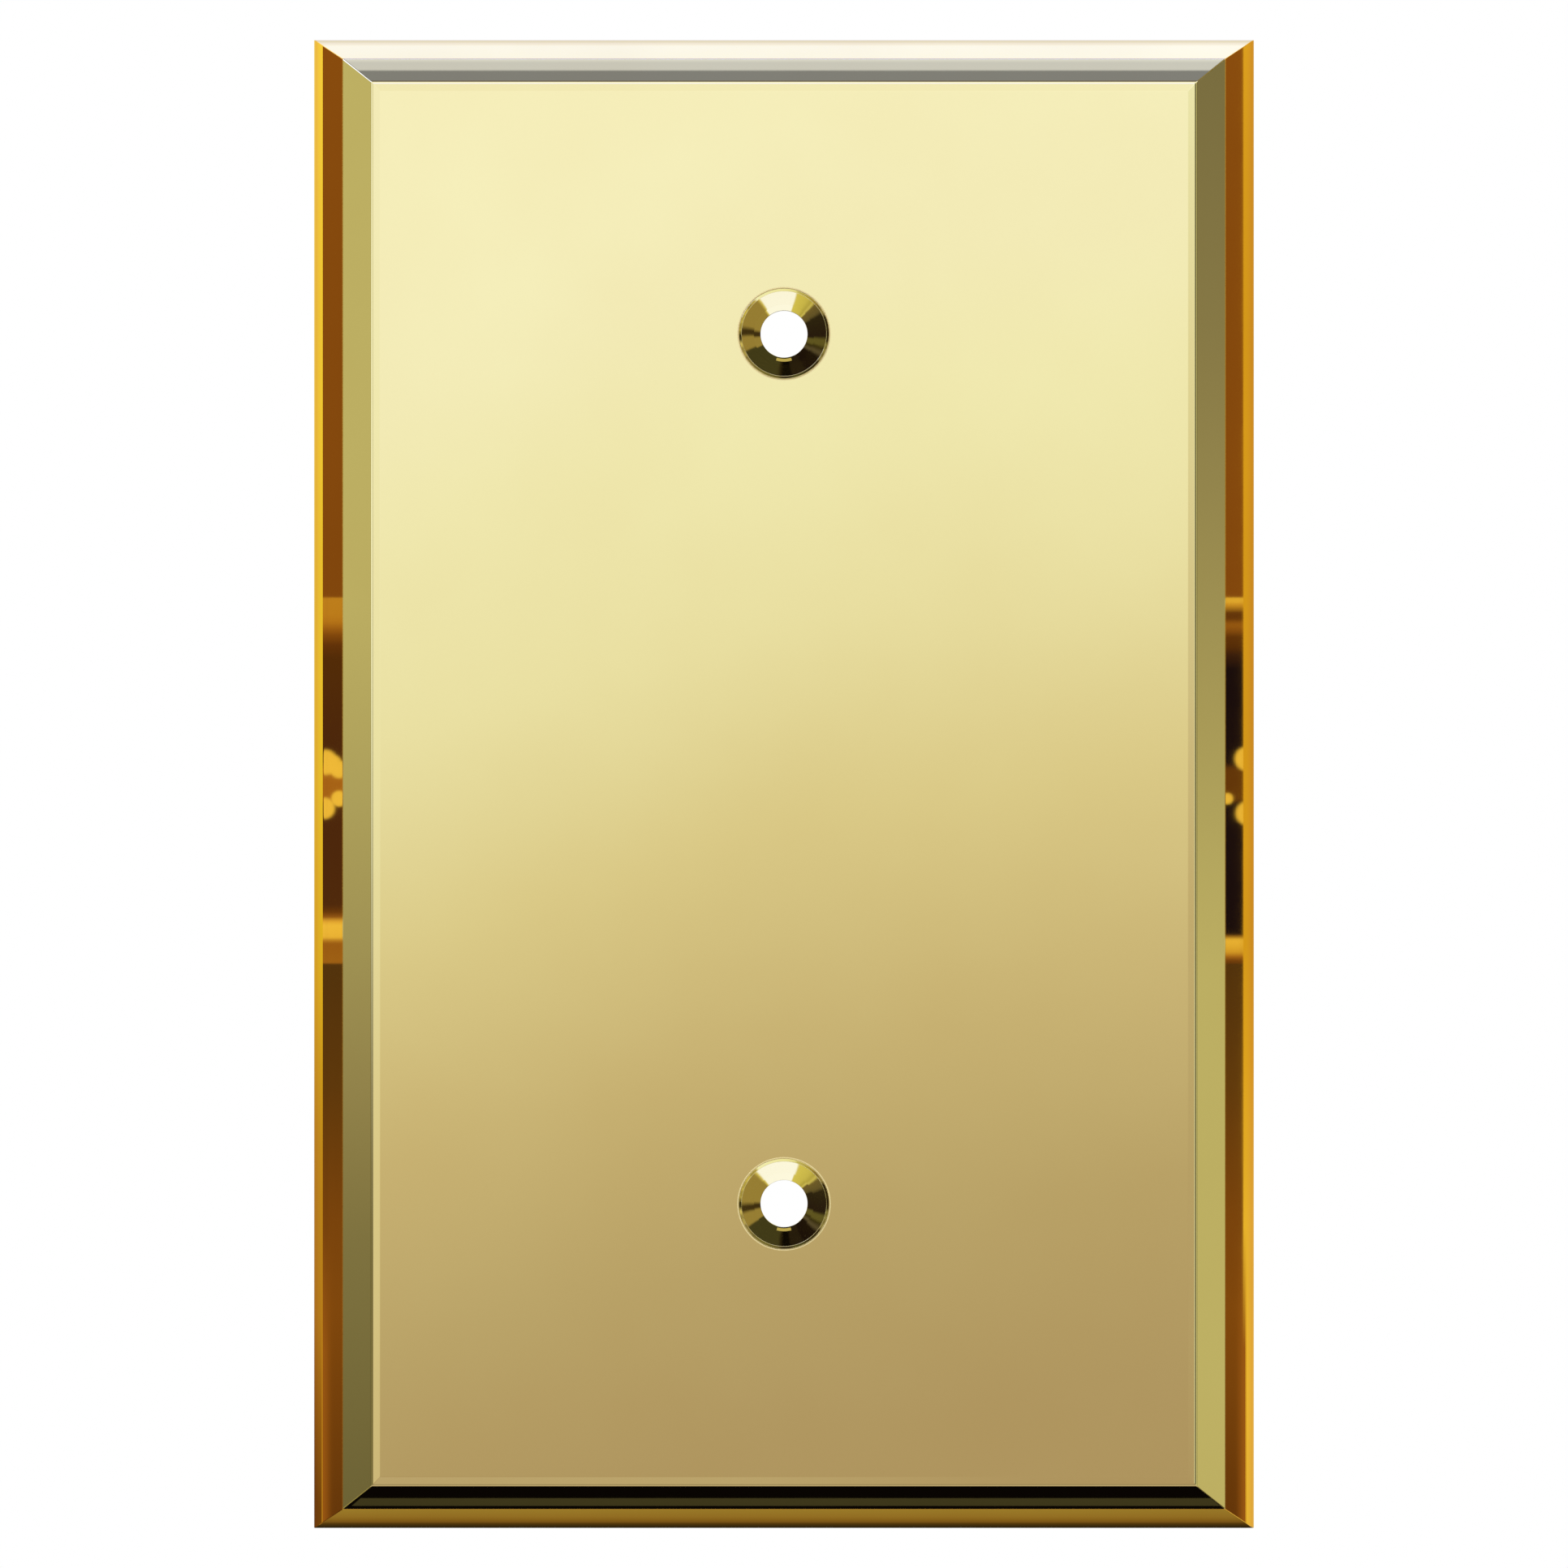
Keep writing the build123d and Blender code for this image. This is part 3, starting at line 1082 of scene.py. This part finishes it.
RIGHT_PANE = [
    (-18.0, (0.15, 0.08, 0.052)),
    (-17.5, (0.2, 0.1, 0.07)),
    (-17.1, (0.46, 0.28, 0.162)),
    (-16.7, (0.78, 0.66, 0.348)),
    (-16.2, (0.91, 0.84, 0.493)),
    (-15.6, (1.00, 0.96, 0.638)),
    (-15.4, (0.96, 0.91, 0.58)),
    (-15.1, (0.26, 0.16, 0.093)),
    (-14.9, 11.4, (0.012, 0.009, 0.07)),
    (12.8, (0.05, 0.028, 0.07)),
    (13.6, (0.11, 0.055, 0.046)),
    (14.6, (0.14, 0.07, 0.052)),
    (15.2, (0.28, 0.15, 0.087)),
    (15.6, 15.9, (0.35, 0.2, 0.104)),
    (16.4, 17.0, (0.15, 0.075, 0.058)),
    (17.4, (0.45, 0.33, 0.174)),
    (17.8, (0.75, 0.6, 0.319)),
    (18.1, 18.6, (0.92, 0.86, 0.522)),
]

# soft lamps glimpsed in each pane: place along Y, place up Z, radius
LEFT_LAMPS = [
    (-2.4, 2.15, 1.35),
    (-3.1, 1.95, 1.05),
    (-3.8, 1.45, 0.95),
    (-2.3, -2.4, 1.15),
    (-3.8, -1.45, 0.85),
]
RIGHT_LAMPS = [(-2.0, 2.5, 1.3), (-3.95, -1.45, 0.6), (-1.9, -2.9, 1.3)]
LEFT_GLOW = (0.46, 0.26, 0.151)
RIGHT_GLOW = (0.15, 0.08, 0.058)

# paper that the rim's rounded corners show past the panes, from the bottom up
LEFT_REFLECTOR = [
    (-72, (0.2, 0.115, 0.05)),
    (-62, (0.38, 0.25, 0.09)),
    (-53, (0.55, 0.42, 0.16)),
    (-36, (0.65, 0.55, 0.19)),
    (-20, (0.86, 0.87, 0.22)),
    (0, (0.97, 1.08, 0.37)),
    (72, (1.13, 1.31, 0.7)),
]
RIGHT_REFLECTOR = [
    (-72, (1.00, 1.02, 0.55)),
    (-44, (0.98, 0.96, 0.45)),
    (-28, (0.87, 0.76, 0.23)),
    (-12, 44, (0.8, 0.67, 0.19)),
    (72, (0.85, 0.73, 0.24)),
]


def side_flag_finish(name, pane, lamps, between, reflector, pane_end):
    """The flag close beside the rim: brown paper with a lit pane, then a plain reflector."""
    flag = Finish(name)
    mix, spread, times, math_node = flag.mix, flag.spread, flag.times, flag.math
    _, back, up = flag.split(flag.place)
    soft = 0.05
    above_foot = spread(up, (PANE_FOOT - soft) * MM, (PANE_FOOT + soft) * MM)
    below_head = spread(up, (PANE_HEAD - soft) * MM, (PANE_HEAD + soft) * MM, 1, 0)
    in_pane = times(above_foot, below_head)
    brown = mix(in_pane, banded(flag, up, BROWN), banded(flag, up, pane))
    middle = spread(math_node("ABSOLUTE", up), 1.3 * MM, 2.2 * MM, 1, 0, smooth=True)
    brown = mix(middle, brown, between)

    # the lamps, each soft at its edge
    spot = flag.vector(Y=back, Z=up)
    glow = 0
    for along, height, radius in lamps:
        centre = (0, along * MM, height * MM)
        gap = flag.node("ShaderNodeVectorMath", {0: spot, 1: centre}, operation="DISTANCE")
        edge = (radius * 0.75 * MM, radius * 1.1 * MM)
        lamp = spread(gap.outputs["Value"], *edge, 1, 0, smooth=True)
        glow = math_node("MAXIMUM", glow, lamp)
    brown = mix(glow, brown, AMBER_LIT)
    streaks = flag.noise(1, detail=2, stretch=(0, 2600, 6))
    brown = mix(spread(streaks, 0.55, 0.75, 0, 0.22), brown, (0.05, 0.03, 0.06))
    past_pane = spread(back, pane_end * MM, (pane_end + 0.08) * MM)
    colour = mix(past_pane, brown, banded(flag, up, reflector))

    # low on the flag: a thin lit slot just behind the wall plane, and warmer brown before it
    foot = spread(up, -0.056, -0.044, 1, 0)
    past_wall = spread(back, 2.7 * MM, 3.2 * MM)
    short_of_end = spread(back, 9 * MM, 13 * MM, 1, 0)
    slot = times(times(past_wall, short_of_end), foot)
    colour = mix(times(slot, 0.9), colour, (0.62, 0.47, 0.2))
    begun = spread(back, -3.2 * MM, -2.2 * MM, smooth=True)
    short_of_slot = spread(back, 2.6 * MM, 2.7 * MM, 1, 0)
    warm = times(times(begun, short_of_slot), foot)
    colour = mix(warm, colour, (0.36, 0.19, 0.12))

    # the further back, the more golden
    gilded = spread(back, 0.0, 0.11, smooth=True)
    tint = mix(gilded, (1.0, 1.0, 1.0), (0.87, 0.66, 0.34))
    return glowing(flag, flag.multiplied(colour, tint))


# bands of paper above and below the ends: those in front of the plate, then those further back
OVERHEAD_FRONT = [
    (-30, -14.2, (0.17, 0.15, 0.2)),
    (-13.7, -12.36, (0.249, 0.273, 0.46)),
    (-12.26, (0.68, 0.74, 1.22)),
    (-11.5, (0.67, 0.73, 1.22)),
    (-11.25, (0.78, 0.85, 1.38)),
    (-10.9, -6, (0.95, 1.1, 1.9)),
]
OVERHEAD_BEHIND = [
    (1.0, (1.19, 1.92, 9.5)),
    (1.9, (1.19, 1.95, 10.0)),
    (3.3, (1.19, 1.97, 10.4)),
    (3.8, (1.14, 1.8, 8.5)),
    (9.2, (1.02, 1.5, 4.3)),
    (14, (0.93, 1.3, 2.4)),
    (24, (0.87, 1.04, 1.2)),
    (40, (0.87, 0.95, 1.2)),
]
UNDERFOOT_FRONT = [(-30, -6, (0.003, 0.002, 0.002))]
UNDERFOOT_BEHIND = [
    (1.0, (0.3, 0.2, 0.16)),
    (1.4, 2.0, (0.383, 0.4, 0.275)),
    (2.7, (0.351, 0.327, 0.218)),
    (2.95, (0.317, 0.28, 0.178)),
    (3.1, (0.274, 0.232, 0.112)),
    (3.35, (0.212, 0.163, 0.118)),
    (3.9, (0.123, 0.098, 0.049)),
    (8.2, (0.073, 0.058, 0.03)),
    (16.5, (0.037, 0.032, 0.017)),
    (40, (0.025, 0.018, 0.01)),
]
OLIVE_STRIP = (0.054, 0.049, 0.028)
WHITE_CORNER = (1.3, 1.5, 3.0)

# how far from the middle of the plate the wings and flags stand, and what share of its reach
# a wing's lit band goes up and down
WING_REACH = 0.75
WING_BAND = 0.13
FLAG_REACH = 0.13
END_FLAG_REACH = 0.085

# the liner in each bore, and the lit ledge on it, which is nearer the wall in the upper cup
LINER_GAP = 0.01
LINER_RISE = 0.012
LINER_DEPTH = 0.8
LINER_SIDES = 96
LEDGE_HEIGHT = 3.744
LEDGE_LEAN = 1.9


def banded_card_finish(name, front, behind):
    """Paper banded from front to back: one set of bands in front of the plate, one further back."""
    paper = Finish(name)
    depth = paper.split(paper.place)[1]
    nearer, further = banded(paper, depth, front), banded(paper, depth, behind)
    past_front = paper.spread(depth, -(FACE_HEIGHT + 0.1) * MM, -(FACE_HEIGHT - 0.1) * MM)
    return glowing(paper, paper.mix(past_front, nearer, further))


def plain_card_finish(name, colour):
    """Paper of one colour, a little uneven."""
    paper = Finish(name)
    dull = tuple(0.96 * channel for channel in colour)
    return glowing(paper, paper.mix(paper.noise(20), colour, dull))


def back_screen_finish():
    """The screen behind: white above, softer below."""
    screen = Finish("back_screen_paper")
    share = screen.spread(screen.split(screen.place)[2], -3.0, 3.0)
    stops = [(0.0, (0.42, 0.42, 0.43)), (0.5, (0.80, 0.80, 0.81)), (1.0, (1.0, 1.0, 1.0))]
    return glowing(screen, screen.ramp(share, stops))


def bore_liner(name, height):
    """A short paper liner in a cup's bore, so the cone shows its sectors down to the throat."""
    liner = Finish(f"{name}_paper")
    across, back, up = liner.split(liner.place)
    side = liner.times(across, -1)
    fall = liner.math("SUBTRACT", height, up)
    angle = liner.math("ARCTAN2", fall, side)
    sectors = banded(liner, angle, SECTORS, DEGREE)
    colour = liner.multiplied(sectors, PALE_BRASS)
    # a small lit ledge, low in the cone
    underneath = liner.math("COMPARE", angle, -math.pi / 2, 16 * DEGREE)
    ledge_height = (LEDGE_HEIGHT - LEDGE_LEAN * height) * MM
    from_ledge = liner.math("ABSOLUTE", liner.math("ADD", back, ledge_height))
    ledge = liner.times(underneath, liner.spread(from_ledge, 0.13 * MM, 0.15 * MM, 1, 0))
    shown = liner.mix(ledge, colour, (0.58, 0.49, 0.20))
    radius = (THROAT - LINER_GAP) * MM
    corners, faces = [], []
    for index in range(LINER_SIDES):
        turn = 2 * math.pi * index / LINER_SIDES
        x, z = radius * math.cos(turn), height + radius * math.sin(turn)
        for depth in (THROAT_HEIGHT + LINER_RISE, THROAT_HEIGHT - LINER_DEPTH):
            corners.append((x, -depth * MM, z))
        first, last = 2 * index, 2 * ((index + 1) % LINER_SIDES)
        faces.append((first, last, last + 1, first + 1))
    card(name, corners, glowing(liner, shown), faces)


def build_studio():
    """The cards round the plate, and the liner in each bore."""
    half = SCREEN_AWAY * 1.2
    card("front_screen", facing(-SCREEN_AWAY, half), front_screen_finish())
    card("back_screen", facing(SCREEN_AWAY, half), back_screen_finish())
    sides = (
        ("left", -1, LEFT_DIM, LEFT_PANE, LEFT_LAMPS, LEFT_GLOW, LEFT_REFLECTOR, 2.6),
        ("right", 1, RIGHT_DIM, RIGHT_PANE, RIGHT_LAMPS, RIGHT_GLOW, RIGHT_REFLECTOR, -2.4),
    )
    for name, side, dims, pane, lamps, glow, reflector, pane_end in sides:
        card(
            f"{name}_wing",
            beside(side * WING_REACH, (-0.64, -0.30), (-0.5, 0.5)),
            side_wing_finish(f"{name}_wing_paper", -side, *dims),
        )
        card(
            f"{name}_flag",
            beside(side * FLAG_REACH, (-0.06, 0.50), (-0.11, 0.11)),
            side_flag_finish(f"{name}_flag_paper", pane, lamps, glow, reflector, pane_end),
        )
    card(
        "overhead_flag",
        level(END_FLAG_REACH, (-0.050, 0.050), (-0.0235, 0.60)),
        banded_card_finish("overhead_paper", OVERHEAD_FRONT, OVERHEAD_BEHIND),
    )
    card(
        "underfoot_flag",
        level(-END_FLAG_REACH, (-0.075, 0.050), (-0.022, 0.11)),
        banded_card_finish("underfoot_paper", UNDERFOOT_FRONT, UNDERFOOT_BEHIND),
    )
    # a narrow strip just clear of the lower flag, cut aslant at its left end
    near, far, z = -0.0122, -0.0114, 0.0001 - END_FLAG_REACH
    card(
        "olive_strip",
        [(-0.04085, near, z), (0.050, near, z), (0.050, far, z), (-0.0417, far, z)],
        plain_card_finish("olive_paper", OLIVE_STRIP),
    )
    # a slanting white card past the upper left corner
    near, far = -0.07, 0.02
    outer, inner = (-0.085, 0.078), (-0.050, 0.115)
    ends = ((outer, near), (inner, near), (inner, far), (outer, far))
    card(
        "corner_card",
        [(x, y, z) for (x, z), y in ends],
        plain_card_finish("white_corner_paper", WHITE_CORNER),
    )
    for place, height in HOLE_HEIGHTS.items():
        bore_liner(f"{place}_bore_liner", height)


def floor_finish():
    """Pale paint, mottled, that fades away all round."""
    paint = Finish("pale_floor_paint")
    tone = paint.mix(paint.noise(3, detail=3), (0.80, 0.80, 0.79), (0.84, 0.84, 0.83))
    painted = paint.node("ShaderNodeBsdfPrincipled", {"Base Color": tone, "Roughness": 0.7})
    clear = paint.node("ShaderNodeBsdfTransparent")
    away = paint.node("ShaderNodeVectorMath", {0: paint.place}, operation="LENGTH")
    faded = paint.spread(away.outputs["Value"], 0.14, 0.55, smooth=True)
    sockets = {0: faded, 1: painted.outputs[0], 2: clear.outputs[0]}
    return paint.ended(paint.node("ShaderNodeMixShader", sockets))


build_studio()

floor_reach = (-0.6, 0.6)
floor = sheet("floor", level(-0.1, floor_reach, floor_reach), floor_finish())
floor.visible_glossy = False

# world: white to the camera and to metal, a plain level to everything else
PLAIN_LEVEL = 0.7
world = bpy.data.worlds.new("white_studio")
world.use_nodes = True
bpy.context.scene.world = world
sky = Wiring(world.node_tree)
background = sky.nodes["Background"].inputs
rays = sky.node("ShaderNodeLightPath").outputs
seen = sky.math("MAXIMUM", rays["Is Camera Ray"], rays["Is Glossy Ray"])
seen = sky.math("MAXIMUM", seen, rays["Is Transmission Ray"])
sky.put(background["Strength"], sky.spread(seen, 0, 1, PLAIN_LEVEL, 1.0))
sky.put(background["Color"], (1, 1, 1, 1))

# key lamp, for the floor and its shadow
lamp_data = bpy.data.lights.new("softbox", "AREA")
lamp_data.energy = 12
lamp_data.size = 1.2
lamp = added("softbox", lamp_data)
lamp.location = (-0.7, -1.1, 1.6)
lamp.rotation_euler = (math.radians(34), 0, math.radians(-32))
lamp.visible_glossy = False

# camera, square on to the plate, far off behind a long lens; the frame is measured at mid depth
LENS = 600
SENSOR = 36
FRAME_WIDTH = 0.15035
MID_DEPTH = 0.003
camera_data = bpy.data.cameras.new("camera")
camera_data.lens = LENS
camera_data.sensor_width = SENSOR
camera_data.clip_end = 20
camera = added("camera", camera_data)
camera.location = (0, -(FRAME_WIDTH / SENSOR * LENS + MID_DEPTH), 0)
camera.rotation_euler = QUARTER_OVER
bpy.context.scene.camera = camera
bpy.context.scene.view_settings.view_transform = "Standard"
